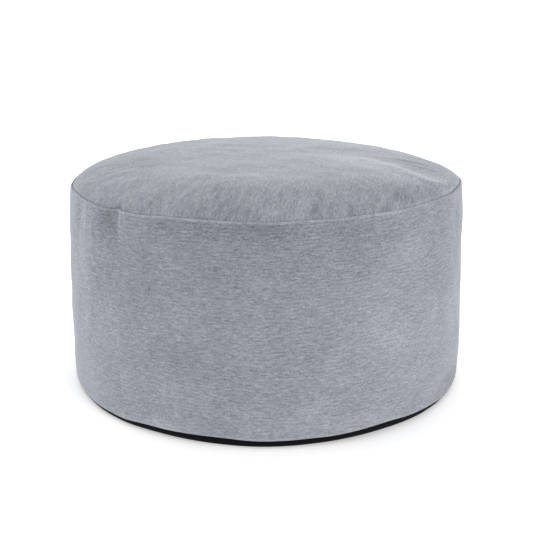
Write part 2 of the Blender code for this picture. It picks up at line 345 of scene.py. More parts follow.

# %% [markdown]
# ## Dents, swells and unevenness
#
# Loose filling pushes unevenly. Its few large dents and swells are placed from the photograph, and
# plain ones finish the back. Over them lies a faint unevenness that nobody would place by hand: we
# add up waves that run in random directions through space. Because the waves fill space, and don't
# run along the cloth, they meet themselves round the drum without a join.

# %% Wall relief
# Columns: angle in degrees, height in m, half width along the wall in mm, half height in mm,
# depth in mm, where a swell has a depth below zero.
WALL_DENTS = (
    (-178.0, 0.270, 70.0, 60.0, -1.3),
    (-137.0, 0.270, 24.0, 24.0, 1.0),
    (-148.0, 0.280, 5.0, 20.0, -1.2),
    (-152.5, 0.274, 6.0, 26.0, 1.1),
    (-143.5, 0.262, 5.0, 24.0, -0.7),
    (-34.0, 0.034, 17.0, 9.0, 1.8),
    (-42.0, 0.022, 14.0, 8.0, 1.4),
    (-24.0, 0.275, 9.0, 30.0, 0.6),
    (-8.0, 0.045, 60.0, 42.0, -2.6),
    (-4.0, 0.270, 40.0, 65.0, -2.4),
    (-30.0, 0.150, 30.0, 50.0, 0.8),
    (-75.0, 0.262, 60.0, 26.0, 0.7),
    (35.0, 0.220, 30.0, 45.0, 1.6),
    (88.0, 0.110, 45.0, 40.0, 1.3),
    (132.0, 0.235, 25.0, 40.0, 1.4),
    (170.0, 0.060, 30.0, 22.0, 1.3),
)

# The unevenness: how long its waves are at the most and the least, and how high together.
WAVE_LONGEST = 0.110
WAVE_SHORTEST = 0.035
WAVE_HEIGHT = 0.00035
WAVE_COUNT = 36
WAVE_SEED = 11


def unevenness(x, y, z):
    """A faint random relief in metres, the same on each run."""
    draw = np.random.default_rng(WAVE_SEED)
    total = 0.0
    for length in np.geomspace(WAVE_LONGEST, WAVE_SHORTEST, WAVE_COUNT):
        ahead = draw.normal(size=3)
        ahead = ahead / np.linalg.norm(ahead) * math.tau / length
        total = total + np.sin(x * ahead[0] + y * ahead[1] + z * ahead[2] + draw.uniform(0.0, math.tau))
    return total * WAVE_HEIGHT / math.sqrt(WAVE_COUNT / 2.0)


def patches(table, angles, heights):
    """The sum of soft round patches on the wall, each as strong as its row's last number."""
    total = 0.0
    for angle, height, across, tall, strength in table:
        away = bump(arc_between(angles, angle), across * MM) * bump(heights - height, tall * MM)
        total = total + strength * away
    return total


def wall_relief(angles, heights):
    """How far dents, swells, unevenness and the upright seam move the wall outwards."""
    relief = side_seam_relief(angles, heights) - patches(WALL_DENTS, angles, heights) * MM
    return relief + unevenness(*on_circle(angles, SEAM_RADIUS), heights)


def wall_radius(share):
    """The plain radius of the wall, at shares from 0 at the seam to 1 at the hem."""
    cone = SEAM_RADIUS + (HEM_RADIUS - SEAM_RADIUS) * share
    return cone + BARREL * 4.0 * share * (1.0 - share)


print("widest plain ring in mm:", round(2.0 * wall_radius(np.linspace(0.0, 1.0, 200)).max() / MM, 1))

# %% [markdown]
# ## The groove of the top seam
#
# Where top and side are sewn together, both turn down into the seam, and a narrow groove is left
# between them. In front the side's lip stands a little proud of it: it catches the light as a thin
# pale line with a dark one behind it. At the right the top's edge rolls over instead, and the pale
# line lies above the dark one. So the lip's rise is a table too, and both edges get a round fold.

# %% The groove
GROOVE_DEPTH = 0.0022
ROLL_WIDTH = 0.0020

# Columns: angle and half width in degrees, how much deeper the groove is and wider the fold, in mm.
GROOVE_PINCHES = (
    (-133.6, 2.0, 3.2, 4.5),
    (-172.0, 6.0, 0.6, 0.6),
    (-22.0, 20.0, 0.4, 2.4),
)

# Columns: angle in degrees, rise of the side's lip over the seam in mm.
LIP_RISES = (
    (-165, 0.5), (-140, 0.9), (-125, 1.2), (-90, 1.3), (-60, 1.1), (-48, 0.5), (-38, -0.5),
    (-12, -0.5), (15, 0.6), (90, 0.9), (140, 0.7),
)


def groove(angles):
    """The groove's depth and the width of the top's fold beside it."""
    depth, width = GROOVE_DEPTH, ROLL_WIDTH
    for angle, reach, deeper, wider in GROOVE_PINCHES:
        pinch = bump(turn_between(angles, angle), reach)
        depth = depth + deeper * MM * pinch
        width = width + wider * MM * pinch
    return depth, width


def roll_drop(angles, inset):
    """How far the top's fold has turned down, at these distances in from its outermost line."""
    depth, width = groove(angles)
    share = np.clip(1.0 - inset / width, 0.0, 1.0)
    return depth * (1.0 - np.sqrt(1.0 - share**2))


print("deepest groove in mm:", round(float(groove(np.arange(360.0))[0].max() / MM), 1))

# %% [markdown]
# ## Turning rings into closed cloth
#
# Each piece is round, so we build it from rings of points, read from the middle of its top round
# to the middle of its underside. All rings have the same columns, and two fans close the middles,
# which makes one watertight mesh. Blender's Screw modifier could turn a profile too, but here each
# ring has its own wander and dents, so plain mesh data is the simpler way.
#
# The columns are about 3 mm apart, and stand closer beside the upright seam so that its step stays
# crisp. They start at that seam, because there the flat strip of cloth starts and ends as well: a
# UV map that is cut there can hold the strip as it lay on the cutting table, in real metres.

# %% Rings and meshes
EVEN_COLUMNS = 600
SEAM_COLUMNS = (0.2, 0.6, 1.2, 2.0, 3.2, 4.6)

# The first ring of a face is tiny, so that no star shows in the weave where the fan closes it.
FACE_SHARES = (0.002, 0.3, 0.6, 0.85, 0.97)


def cloth_columns():
    """Angles from the upright seam once round, closer together at both of its sides."""
    close = np.degrees(np.array(SEAM_COLUMNS) * MM / SEAM_RADIUS)
    room = close[-1] + 180.0 / EVEN_COLUMNS
    even = np.linspace(room, 360.0 - room, EVEN_COLUMNS)
    return SIDE_SEAM_ANGLE + np.concatenate([close, even, 360.0 - close[::-1]])


def ring(angles, radii, heights):
    """One closed ring of points."""
    x, y = on_circle(angles, radii)
    return np.stack([x, y, heights + 0.0 * x], axis=-1)


def face_rings(angles, edge_radii, edge_heights, middle_height):
    """Rings across a flat face, from its middle to near its edge."""
    rings = []
    for share in FACE_SHARES:
        heights = middle_height + (edge_heights - middle_height) * share**2
        rings.append(ring(angles, edge_radii * share, heights))
    return rings


def closed_cloth(name, rings, painted_light_and_streak_rings, top, bottom, flatten):
    """A closed mesh from rings of points, with the painted light and shade, and streaks, of each ring.
    flatten gives the UV of points in metres, with one column more than the ring, so that the cut in
    the map is clean."""
    count = len(rings[0])
    points = [(0.0, 0.0, top), *np.concatenate(rings).tolist(), (0.0, 0.0, bottom)]
    here = np.arange(count)
    after = (here + 1) % count
    levels = 1 + np.arange(len(rings) - 1)[:, None] * count
    quads = np.stack([levels + here, levels + count + here, levels + count + after, levels + after], -1)
    lowest = 1 + (len(rings) - 1) * count
    first_fan = [(0, 1 + a, 1 + b) for a, b in zip(here, after)]
    last_fan = [(len(points) - 1, lowest + b, lowest + a) for a, b in zip(here, after)]
    mesh = bpy.data.meshes.new(name)
    mesh.from_pydata(points, [], [*first_fan, *quads.reshape(-1, 4).tolist(), *last_fan])
    painted_light_and_streaks = [np.full(count, 1.0) * value for value in painted_light_and_streak_rings]
    painted_light_and_streaks = np.concatenate([painted_light_and_streaks[0][:1], *painted_light_and_streaks, painted_light_and_streaks[-1][:1]])
    # The painted light and shade, with the top's streaks, is stored on each point.
    mesh.attributes.new("painted_light_and_streaks", "FLOAT", "POINT").data.foreach_set("value", painted_light_and_streaks.astype(np.float32))

    maps = np.stack([flatten(np.vstack([r, r[:1]]), index) for index, r in enumerate(rings)])
    left, right = maps[:, :-1], maps[:, 1:]
    quad_maps = np.stack([left[:-1], left[1:], right[1:], right[:-1]], axis=-2)
    first_maps = np.stack([(left[0] + right[0]) / 2, left[0], right[0]], axis=-2)
    last_maps = np.stack([(left[-1] + right[-1]) / 2, right[-1], left[-1]], axis=-2)
    cloth_map = mesh.uv_layers.new(name="cut_cloth")
    flat = np.concatenate([first_maps.ravel(), quad_maps.ravel(), last_maps.ravel()])
    cloth_map.data.foreach_set("uv", flat.astype(np.float32))
    mesh.shade_smooth()
    mesh.set_sharp_from_angle(angle=math.radians(60.0))
    piece = bpy.data.objects.new(name, mesh)
    bpy.context.scene.collection.objects.link(piece)
    print(name, "has", len(mesh.polygons), "faces in", len(rings), "rings")
    return piece


columns = cloth_columns()
print("columns:", len(columns))

# %% [markdown]
# ## The crease in the top
#
# On the right of the top a soft crease runs out from the middle, bends near the edge and turns
# back along it. The cloth between the crease and the edge has sunk a little. A sculptor would draw
# it with a brush. We draw it as a smooth curve through a few given points, measure how far each
# point of the cloth lies from that curve, and lift or lower it by a bell of that distance.

# %% The crease
# Columns: x, y, ridge height in mm, ridge half width in mm, sink in mm.
CREASE = (
    (0.055, -0.010, 0.0, 30.0, 0.0),
    (0.110, -0.034, 1.2, 28.0, 1.2),
    (0.158, -0.050, 2.2, 25.0, 2.4),
    (0.191, -0.092, 2.8, 22.0, 3.0),
    (0.218, -0.124, 3.0, 19.0, 3.2),
    (0.246, -0.122, 2.6, 16.0, 2.8),
    (0.268, -0.088, 1.6, 14.0, 1.8),
    (0.283, -0.042, 0.0, 12.0, 0.0),
)
CREASE_SINK_REACH = 0.045
CREASE_STEPS_PER_ROW = 8
CREASE_BLEND = 0.040

# Makes the deepest point of the sink as deep as its row says.
SINK_PEAK = math.sqrt(2.0 * math.e)


def crease_path():
    """Points along the crease on a smooth curve through the table's rows."""
    rows = np.array(CREASE)
    padded = np.vstack([2 * rows[0] - rows[1], rows, 2 * rows[-1] - rows[-2]])
    points = []
    for index in range(1, len(rows)):
        before, start, end, after = padded[index - 1 : index + 3]
        for step in range(CREASE_STEPS_PER_ROW):
            t = step / CREASE_STEPS_PER_ROW
            bend = (2 * before - 5 * start + 4 * end - after) * t**2
            twist = (3 * start - before - 3 * end + after) * t**3
            points.append((2 * start + (end - before) * t + bend + twist) / 2)
    return np.array(points)


def beside_crease(x, y):
    """The row of the path beside each point, the distance to the path, and whether the point lies
    outside it. Rows about as near as the nearest are blended, so that nothing jumps."""
    path = crease_path()
    off_x = x[..., None] - path[:, 0]
    off_y = y[..., None] - path[:, 1]
    away = np.hypot(off_x, off_y)
    near = away.argmin(axis=-1)
    ahead = np.gradient(path[:, :2], axis=0)[near]
    here_x = np.take_along_axis(off_x, near[..., None], -1)[..., 0]
    here_y = np.take_along_axis(off_y, near[..., None], -1)[..., 0]
    outside = ahead[..., 0] * here_y - ahead[..., 1] * here_x > 0.0
    nearest = away.min(axis=-1)
    weight = bump(away, CREASE_BLEND) / bump(nearest, CREASE_BLEND)[..., None]
    row = weight @ path / weight.sum(axis=-1, keepdims=True)
    return row, nearest, outside


def crease_lift(x, y):
    """How far the crease lifts the cloth, and how far the cloth outside it sinks."""
    row, distance, outside = beside_crease(x, y)
    ridge, width, sink = np.moveaxis(row[..., 2:] * MM, -1, 0)
    hollow = distance / CREASE_SINK_REACH
    fall = sink * SINK_PEAK * hollow * np.exp(-(hollow**2))
    return ridge * bump(distance, width) - np.where(outside, fall, 0.0)


print("crease length in mm:", round(np.hypot(*np.diff(crease_path()[:, :2].T)).sum() / MM))

# %% [markdown]
# ## Puckers at the rim
#
# A flat round of cloth is a little too large for the ring that it is sewn to, so the maker eases
# it in, and it draws down in small puckers. The larger ones are listed one by one.

# %% Puckers
# Columns: angle in degrees, half width in degrees, drop in mm, reach from the rim in mm.
RIM_PUCKERS = (
    (-134.0, 3.5, 2.6, 16.0),
    (-152.0, 3.0, 1.4, 14.0),
    (-13.0, 4.0, 3.0, 14.0),
    (-122.0, 0.8, 0.9, 13.0),
    (-118.5, 0.7, 0.7, 11.0),
    (-115.0, 1.0, 1.1, 15.0),
    (-110.5, 0.8, 0.7, 10.0),
    (-105.0, 1.1, 0.8, 12.0),
    (-97.0, 1.0, 0.6, 10.0),
    (-71.0, 1.2, 0.5, 10.0),
    (-49.0, 3.5, 1.2, 16.0),
    (18.0, 3.5, 1.6, 18.0),
    (74.0, 3.0, 1.2, 14.0),
    (121.0, 4.0, 1.8, 18.0),
    (163.0, 3.0, 1.2, 14.0),
)


def pucker_drop(angles, inset):
    """How far the puckers pull the top down, at these distances in from its rim."""
    drop = 0.0
    for angle, width, depth, reach in RIM_PUCKERS:
        drop = drop + depth * MM * bump(turn_between(angles, angle), width) * bump(inset, reach * MM)
    return drop


print("puckers placed by hand:", len(RIM_PUCKERS))

# %% [markdown]
# ## The crown
#
# The crown is a superellipse turned round the axis: nearly flat in the middle, then rounding ever
# faster to the seam, as cloth does over a filling that it holds in. In front the filling pushes up
# the crown's shoulder in soft lobes, and the cloth slopes down from them to the seam. That slope
# is turned towards us and away from the lamps, so in the photograph it is the darker, uneven zone
# along the front of the top.

# %% The crown
# Columns: angle in degrees, share of the radius, half width in degrees, half width as a share of
# the radius, height in mm.
CROWN_SWELLS = (
    (-126, 0.66, 17, 0.14, 4.0),
    (-108, 0.76, 12, 0.12, 2.5),
    (-90, 0.67, 13, 0.14, 4.0),
    (-74, 0.76, 10, 0.12, 2.5),
    (-58, 0.68, 13, 0.14, 4.0),
    (-40, 0.74, 12, 0.13, 2.6),
    (15, 0.55, 22, 0.15, 1.0),
    (100, 0.60, 26, 0.16, 1.2),
    (160, 0.62, 20, 0.15, 1.0),
)
SWELL_HOLD = 12


def crown_height(angles, share):
    """The crown's rise over the seam at this share of its radius, 0 in the middle."""
    plain = CROWN_RISE * (1.0 - share**CROWN_FLATNESS) ** CROWN_FULLNESS
    swell = 0.0
    for angle, at, width, reach, height in CROWN_SWELLS:
        swell = swell + height * MM * bump(turn_between(angles, angle), width) * bump(share - at, reach)
    return plain + swell * (1.0 - share**SWELL_HOLD)


print("the crown's rise half way out in mm:", round(float(crown_height(-90.0, 0.5) / MM), 1))

# %% [markdown]
# ## Letting the top settle
#
# Up to here the top is a drawing. On the real pouf loose filling pushes the cloth up, and where
# the cloth is a little slack it buckles softly, in ways that nobody would draw. Blender's Cloth
# physics finds these: we lay a sheet of small squares over the top, pin its sewn edge, make it a
# touch too large, and let pressure push it up for a few frames. It swells, and it puckers all along
# the seam. The swelling is taken off again, since the crown already has the photograph's height,
# and the puckers are held to a millimetre. They join the other relief of the top, so the seams
# stay exactly in place.

# %% Lay a sheet over the top
SHEET_STEP = 0.005
SHEET_EDGE = 0.975
PINNED_FROM = 0.940


def top_height(x, y):
    """The top's height over its seam, without its sewn rim."""
    share = np.minimum(np.hypot(x, y) / SEAM_RADIUS, 1.0)
    return crown_height(np.degrees(np.arctan2(y, x)), share) + crease_lift(x, y)


def lay_sheet(x, y, height):
    """A sheet of squares over the top, and which of the grid's points it holds."""
    share = np.hypot(x, y) / SEAM_RADIUS
    held = share < SHEET_EDGE
    number = np.full(x.shape, -1)
    number[held] = np.arange(held.sum())
    corners = np.stack([number[:-1, :-1], number[1:, :-1], number[1:, 1:], number[:-1, 1:]], axis=-1)
    corners = corners.reshape(-1, 4)
    corners = corners[(corners >= 0).all(axis=1)]
    mesh = bpy.data.meshes.new("settling_sheet")
    points = np.stack([x[held], y[held], SEAM_HEIGHT + height[held]], axis=-1)
    mesh.from_pydata(points.tolist(), [], corners.tolist())
    sheet = bpy.data.objects.new("settling_sheet", mesh)
    bpy.context.scene.collection.objects.link(sheet)
    sewn = np.flatnonzero(share[held] > PINNED_FROM)
    sheet.vertex_groups.new(name="sewn_edge").add(sewn.tolist(), 1.0, "REPLACE")
    return sheet, held


places = np.arange(-SEAM_RADIUS, SEAM_RADIUS + SHEET_STEP, SHEET_STEP)
grid_x, grid_y = np.meshgrid(places, places, indexing="ij")
drawn_height = top_height(grid_x, grid_y)
sheet, held = lay_sheet(grid_x, grid_y, drawn_height)
print("points in the sheet:", int(held.sum()))

# %% Push it up with cloth physics
SHEET_SLACK = 0.006
PRESSURE = 4.0
FRAMES = 20


def settle(sheet):
    """The sheet's points after cloth physics has pushed it up."""
    cloth = sheet.modifiers.new("cloth", "CLOTH")
    cloth.settings.quality = 5
    cloth.settings.mass = 0.2
    cloth.settings.bending_stiffness = 0.4
    cloth.settings.use_pressure = True
    cloth.settings.uniform_pressure_force = PRESSURE
    cloth.settings.shrink_min = -SHEET_SLACK
    cloth.settings.vertex_group_mass = "sewn_edge"
    cloth.settings.effector_weights.gravity = 0.0
    cloth.collision_settings.use_collision = False
    for frame in range(1, FRAMES + 1):
        bpy.context.scene.frame_set(frame)
    moved = sheet.evaluated_get(bpy.context.evaluated_depsgraph_get()).data
    points = np.empty(len(moved.vertices) * 3)
    moved.vertices.foreach_get("co", points)
    bpy.context.scene.frame_set(1)
    return points.reshape(-1, 3)


rise = settle(sheet)[:, 2] - SEAM_HEIGHT - drawn_height[held]
bpy.data.objects.remove(sheet)
print("settling lifts the cloth by up to mm:", round(float(rise.max() / MM), 1))

# %% Keep only its puckers
PUCKER_CAP = 0.0010
SWELL_RINGS = 40
SMOOTHING = 40


def smooth(grid):
    """The grid with each point blended with its neighbours, many times over."""
    for _ in range(SMOOTHING):
        padded = np.pad(grid, 1)
        beside = padded[:-2, 1:-1] + padded[2:, 1:-1] + padded[1:-1, :-2] + padded[1:-1, 2:]
        grid = (grid + beside) / 5.0
    return grid


def only_puckers(rise):
    """The lift on the whole grid, without its ring by ring swelling and its broad forms."""
    ring_place = np.hypot(grid_x, grid_y)[held] / SEAM_RADIUS * SWELL_RINGS
    ring_number = ring_place.astype(int)
    ring_mean = np.bincount(ring_number, rise) / np.bincount(ring_number)
    lift = np.zeros(held.shape)
    lift[held] = rise - np.interp(ring_place, np.arange(len(ring_mean)) + 0.5, ring_mean)
    broad = smooth(lift) / np.maximum(smooth(held.astype(float)), 0.1)
    return np.where(held, PUCKER_CAP * np.tanh((lift - broad) / PUCKER_CAP), 0.0)


def sample(grid, column, row):
    """The grid's values at these places, blended between its points."""
    column = np.clip(column, 0.0, grid.shape[0] - 1.001)
    row = np.clip(row, 0.0, grid.shape[1] - 1.001)
    i, j = column.astype(int), row.astype(int)
    s, t = column - i, row - j
    low = grid[i, j] * (1.0 - t) + grid[i, j + 1] * t
    high = grid[i + 1, j] * (1.0 - t) + grid[i + 1, j + 1] * t
    return low * (1.0 - s) + high * s


def settled_lift(x, y):
    """The kept puckers at these points."""
    return sample(puckers, (x - places[0]) / SHEET_STEP, (y - places[0]) / SHEET_STEP)


puckers = only_puckers(rise)
print("highest kept pucker in mm:", round(float(puckers.max() / MM), 2))

# %% [markdown]
# ## Painted light and shade
#
# Here light and shade are painted into the cloth's colour: a painted highlight where a fold or an
# edge catches the light, painted shade in the groove, the pinch and other hollows, and patches of
# painted light and shade where the cloth is lit more or less. In a paint program we would brush
# this on by hand, with Blender's vertex paint. We do the same in code: each point of the cloth
# gets a number, above zero for painted light and below for painted shade. The random streaks on
# the top are added to the same number.

# %% Painted light and shade beside the sewn edges
# Columns: angle in degrees, strength of the painted highlight on the side's lip.
LIP_PAINTED_HIGHLIGHT = (
    (-175, 1.4), (-150, 2.6), (-139, 1.2), (-132, 0.4), (-128, 3.6), (-60, 3.4), (-42, 2.4),
    (-30, 0.0), (-5, 0.0), (20, 1.2), (60, 2.6), (150, 2.4),
)

# Columns: angle in degrees, strength of the painted shade in the groove.
GROOVE_PAINTED_SHADE = (
    (-150, 0.0), (-139, -0.5), (-134, -5.0), (-129, 0.0), (-40, 0.0), (-28, -3.5), (-6, -5.0),
    (15, -2.0), (60, -2.0), (150, -2.0),
)
GROOVE_SHADE_REACH = 0.0010
# A painted highlight on the wall just above the hem.
HEM_PAINTED_HIGHLIGHT = 1.2
HEM_HIGHLIGHT_FADE = 0.0030
print("nap of the palest lip:", max(painted_light_and_streaks for _, painted_light_and_streaks in LIP_PAINTED_HIGHLIGHT))

# %% Painted light and shade on the wall
# Painted shade on the upper half of the wall, and painted light from the floor on its lower half.
WALL_SHADE_AT_TOP = -0.8
WALL_LIGHT_AT_BOTTOM = 0.5
WALL_SHADING_MIDDLE = 0.185
WALL_SHADING_BLEND = 0.050

# Patches of painted light and shade on the wall. Columns: angle in degrees, height in m, half width
# along the wall in mm, half height in mm, strength, above zero for painted light and below for shade.
WALL_PAINTED_LIGHT_PATCHES = (
    (-92.0, 0.294, 110.0, 15.0, -1.5),
    (-51.0, 0.246, 36.0, 34.0, 1.1),
    (-54.0, 0.130, 34.0, 28.0, 0.5),
    (-34.0, 0.150, 16.0, 110.0, -0.8),
    (-22.0, 0.024, 38.0, 17.0, -2.9),
    (-34.0, 0.014, 24.0, 9.0, -1.4),
    (-66.0, 0.028, 70.0, 11.0, 1.2),
    (-79.0, 0.052, 22.0, 14.0, 1.3),
    (-133.0, 0.012, 20.0, 8.0, 1.2),
    (-123.0, 0.113, 40.0, 22.0, -0.9),
    (-149.0, 0.236, 26.0, 32.0, 1.2),
    (-117.0, 0.018, 26.0, 10.0, 2.4),
    (-110.0, 0.115, 26.0, 26.0, -1.3),
    (-88.0, 0.110, 60.0, 60.0, -0.6),
    (-62.0, 0.165, 30.0, 30.0, 1.0),
    (-78.0, 0.030, 24.0, 9.0, 0.7),
    (-148.0, 0.285, 5.0, 13.0, 1.8),
)

# Painted shade in the hollow at the left of the upright seam, and a painted highlight on the edge
# at its right.
SHADE_PATCH = (-137.0, 0.280, 30.0, 24.0, -2.4)
SEAM_EDGE_HIGHLIGHT = 2.0
SEAM_EDGE_REACH = 0.014
SEAM_EDGE_FADE = 0.020


def wall_painted_light(angles, heights):
    """The painted light and shade of the wall, with the marks beside the upright seam."""
    climb = np.tanh((heights - WALL_SHADING_MIDDLE) / WALL_SHADING_BLEND)
    middle, spread = (WALL_SHADE_AT_TOP + WALL_LIGHT_AT_BOTTOM) / 2, (WALL_SHADE_AT_TOP - WALL_LIGHT_AT_BOTTOM) / 2
    along = arc_between(angles, SIDE_SEAM_ANGLE)
    below = np.maximum(0.0, SEAM_HEIGHT - heights)
    edge = bump(along, SEAM_EDGE_REACH) * bump(below, SEAM_EDGE_FADE)
    # Painted shade left of the upright seam, and a painted highlight on its right.
    marks = np.where(along < 0.0, patches([SHADE_PATCH], angles, heights), SEAM_EDGE_HIGHLIGHT * edge)
    return middle + spread * climb + marks + patches(WALL_PAINTED_LIGHT_PATCHES, angles, heights)


print("patches of stroked pile on the wall:", len(WALL_PAINTED_LIGHT_PATCHES))

# %% Streaks along the grain
# Random lighter and darker streaks in front, which run with the grain of the top.
TOP_GRAIN = math.radians(78.0)
STREAK_PITCH = 0.0037
STREAK_LENGTH = 0.022
STREAK_TONE = 1.05
STREAK_SPREAD = 62.0
STREAK_FROM = 0.93
STREAK_REACH = 0.20
STREAK_SEED = 5


def along_grain(x, y):
    """The way along and across the top's grain, in metres."""
    along = x * math.cos(TOP_GRAIN) + y * math.sin(TOP_GRAIN)
    across = y * math.cos(TOP_GRAIN) - x * math.sin(TOP_GRAIN)
    return along, across


def streaks_along_grain(angles, x, y):
    """Random streaks along the grain, strongest towards the front of the rim."""
    along, across = along_grain(x, y)
    shape = [int(2.0 * SEAM_RADIUS / size) + 3 for size in (STREAK_LENGTH, STREAK_PITCH)]
    grid = np.random.default_rng(STREAK_SEED).normal(size=shape)
    found = sample(grid, (along + SEAM_RADIUS) / STREAK_LENGTH, (across + SEAM_RADIUS) / STREAK_PITCH)
    share = np.hypot(x, y) / SEAM_RADIUS
    where = bump(turn_between(angles, -90.0), STREAK_SPREAD) * bump(share - STREAK_FROM, STREAK_REACH)
    return STREAK_TONE * found * where


print("streaks across the top:", int(2.0 * SEAM_RADIUS / STREAK_PITCH))

# %% Painted light and shade on the top
# Patches of painted light and shade on the top. Columns: x, y, reach in mm, strength, above zero
# for painted light and below for painted shade.
TOP_PAINTED_LIGHT_PATCHES = (
    (0.268, -0.115, 24.0, -2.4),
    (0.206, -0.026, 24.0, -1.5),
    (0.238, -0.056, 22.0, -1.2),
    (0.060, -0.020, 50.0, 0.9),
    (0.125, -0.036, 42.0, 1.7),
    (0.140, -0.075, 34.0, 1.8),
    (0.175, -0.120, 28.0, 2.6),
    (0.205, -0.136, 16.0, 1.6),
    (0.220, -0.160, 18.0, -1.4),
    (0.228, -0.100, 20.0, 1.8),
    (0.200, -0.205, 22.0, -0.5),
    (0.168, -0.150, 18.0, 1.2),
    (0.178, -0.205, 14.0, -1.2),
    (-0.045, -0.275, 20.0, -1.2),
    (-0.030, -0.235, 16.0, -0.6),
    (0.178, -0.192, 20.0, -1.2),
    (-0.060, -0.252, 20.0, -1.2),
    (-0.090, -0.268, 16.0, -1.0),
    (-0.190, -0.030, 45.0, -1.8),
    (-0.124, -0.156, 30.0, 1.4),
    (-0.190, 0.118, 36.0, -1.4),
    (-0.135, 0.135, 36.0, -1.8),
    (0.097, 0.208, 34.0, -1.6),
    (0.149, 0.181, 34.0, -1.8),
    (0.150, 0.218, 30.0, -2.2),
    (-0.130, 0.185, 30.0, -2.0),
    (0.052, -0.232, 16.0, -1.0),
    (0.096, -0.205, 24.0, 0.8),
    (0.0, -0.225, 90.0, 0.5),
)

# The top's edge rolls over at the right, with a painted highlight where it catches the light.
TOP_EDGE_HIGHLIGHT_ANGLE = -24.0
TOP_EDGE_HIGHLIGHT_SPREAD = 16.0
TOP_EDGE_HIGHLIGHT = 2.4
TOP_EDGE_HIGHLIGHT_REACH = 0.0038

# Painted shade in the pinched hollow where the upright seam meets the top.
PINCH_ANGLE = -133.6
PINCH_SHADE = -3.5
PINCH_SPREAD = 2.2
PINCH_REACH = 0.014

# The painted highlight that runs beside the crease.
CREASE_HIGHLIGHT = 1.8
CREASE_HIGHLIGHT_AT = 0.010
CREASE_HIGHLIGHT_REACH = 0.014
CREASE_FULL_SINK = 3.0


def top_painted_light_and_streaks(angles, x, y, inset):
    """The top's painted light and shade and its streaks: its patches, the painted highlight by the
    crease, and the rim with its painted highlight and the painted shade of its pinch and groove.
    """
    row, distance, outside = beside_crease(x, y)
    strength = np.clip(row[..., 4] / CREASE_FULL_SINK, 0.0, 1.0) ** 1.5
    signed = np.where(outside, distance, -distance)
    crease_highlight = CREASE_HIGHLIGHT * bump(signed - CREASE_HIGHLIGHT_AT, CREASE_HIGHLIGHT_REACH)
    edge = bump(turn_between(angles, TOP_EDGE_HIGHLIGHT_ANGLE), TOP_EDGE_HIGHLIGHT_SPREAD)
    edge = TOP_EDGE_HIGHLIGHT * edge * bump(inset, TOP_EDGE_HIGHLIGHT_REACH)
    # Painted shade in the pinch where the upright seam meets the top.
    pinch = PINCH_SHADE * bump(turn_between(angles, PINCH_ANGLE), PINCH_SPREAD) * bump(inset, PINCH_REACH)
    # Painted shade in the groove at the rim.
    groove_shade = wander(GROOVE_PAINTED_SHADE, angles) / MM * bump(inset, GROOVE_SHADE_REACH)
    painted_tone = streaks_along_grain(angles, x, y)
    for patch_x, patch_y, reach, painted_light_and_streaks in TOP_PAINTED_LIGHT_PATCHES:
        painted_tone = painted_tone + painted_light_and_streaks * bump(np.hypot(x - patch_x, y - patch_y), reach * MM)
    return strength * crease_highlight + edge + pinch + groove_shade + painted_tone


print("patches of stroked pile on the top:", len(TOP_PAINTED_LIGHT_PATCHES))

# %% [markdown]
# ## The top
#
# Now the crown, the crease and the puckers come together in one round of cloth. Its rings crowd
# together near the rim, where the curve is tight, and a few more fill the middle. Right at the
# seam the sewn edge shapes the cloth, so crease and puckers fade out there. The grain of the top
# runs from front to back, so its UV map is the plan of the round, turned until the map's first
# axis points along the grain.

# %% The top
CROWN_RINGS = 110
MIDDLE_SHARES = (0.002, 0.012, 0.024, 0.036, 0.048)
EDGE_HOLD = 0.008
WANDER_HOLD = 4


def top_flatten(points, index):
    """The plan of the round in metres, with the first axis along the grain."""
    return np.stack(along_grain(points[:, 0], points[:, 1]), axis=-1)


def make_top():
    seam = seam_heights(columns) + PANEL_GAP / 2
    middle = SEAM_HEIGHT + PANEL_GAP / 2
    rings, painted_light_and_streak_rings = [], []
    turns = np.arange(1, CROWN_RINGS + 1) / CROWN_RINGS * math.pi / 2
    for share in (*MIDDLE_SHARES, *np.sin(turns) ** (2.0 / CROWN_FLATNESS)):
        inset = SEAM_RADIUS * (1.0 - share)
        held = bump(inset, EDGE_HOLD)
        radii = (SEAM_RADIUS - LIP_DEPTH + wall_relief(columns, seam) * held) * share
        x, y = on_circle(columns, radii)
        edge = wander(SEAM_WANDER, columns) * share**WANDER_HOLD + seam_hitch(columns) * held
        relief = crease_lift(x, y) - pucker_drop(columns, inset) + unevenness(x, y, SEAM_HEIGHT)
        relief = relief + settled_lift(x, y)
        height = middle + edge + crown_height(columns, share) + relief * (1.0 - held)
        rings.append(ring(columns, radii, height - roll_drop(columns, inset)))
        painted_light_and_streak_rings.append(top_painted_light_and_streaks(columns, x, y, inset))
    crown = middle + CROWN_RISE + float(unevenness(0.0, 0.0, SEAM_HEIGHT))
    bottom = middle - GROOVE_DEPTH
    rings += reversed(face_rings(columns, radii, seam - groove(columns)[0], bottom))
    painted_light_and_streak_rings += [painted_light_and_streak_rings[-1]] * (len(rings) - len(painted_light_and_streak_rings))
    return closed_cloth("top_cloth", rings, painted_light_and_streak_rings, crown, bottom, top_flatten)


top_cloth = make_top()

# %% [markdown]
# ## The side
#
# The strip starts on the hidden face that lies under the top, rolls over the seam as a soft lip,
# runs down the wall, and turns under in a tighter fold at the hem. Wall and folds are one mesh, as
# they are one piece of cloth. The UV map counts the way along the strip as its first axis and the
# way down as its second, so the weave keeps its real size all over the drum.

# %% The side
LIP_RINGS = 9
LIP_CREST = 0.12
LIP_ROUND = 0.0026
WALL_RINGS = 84
FOLD_RINGS = 10


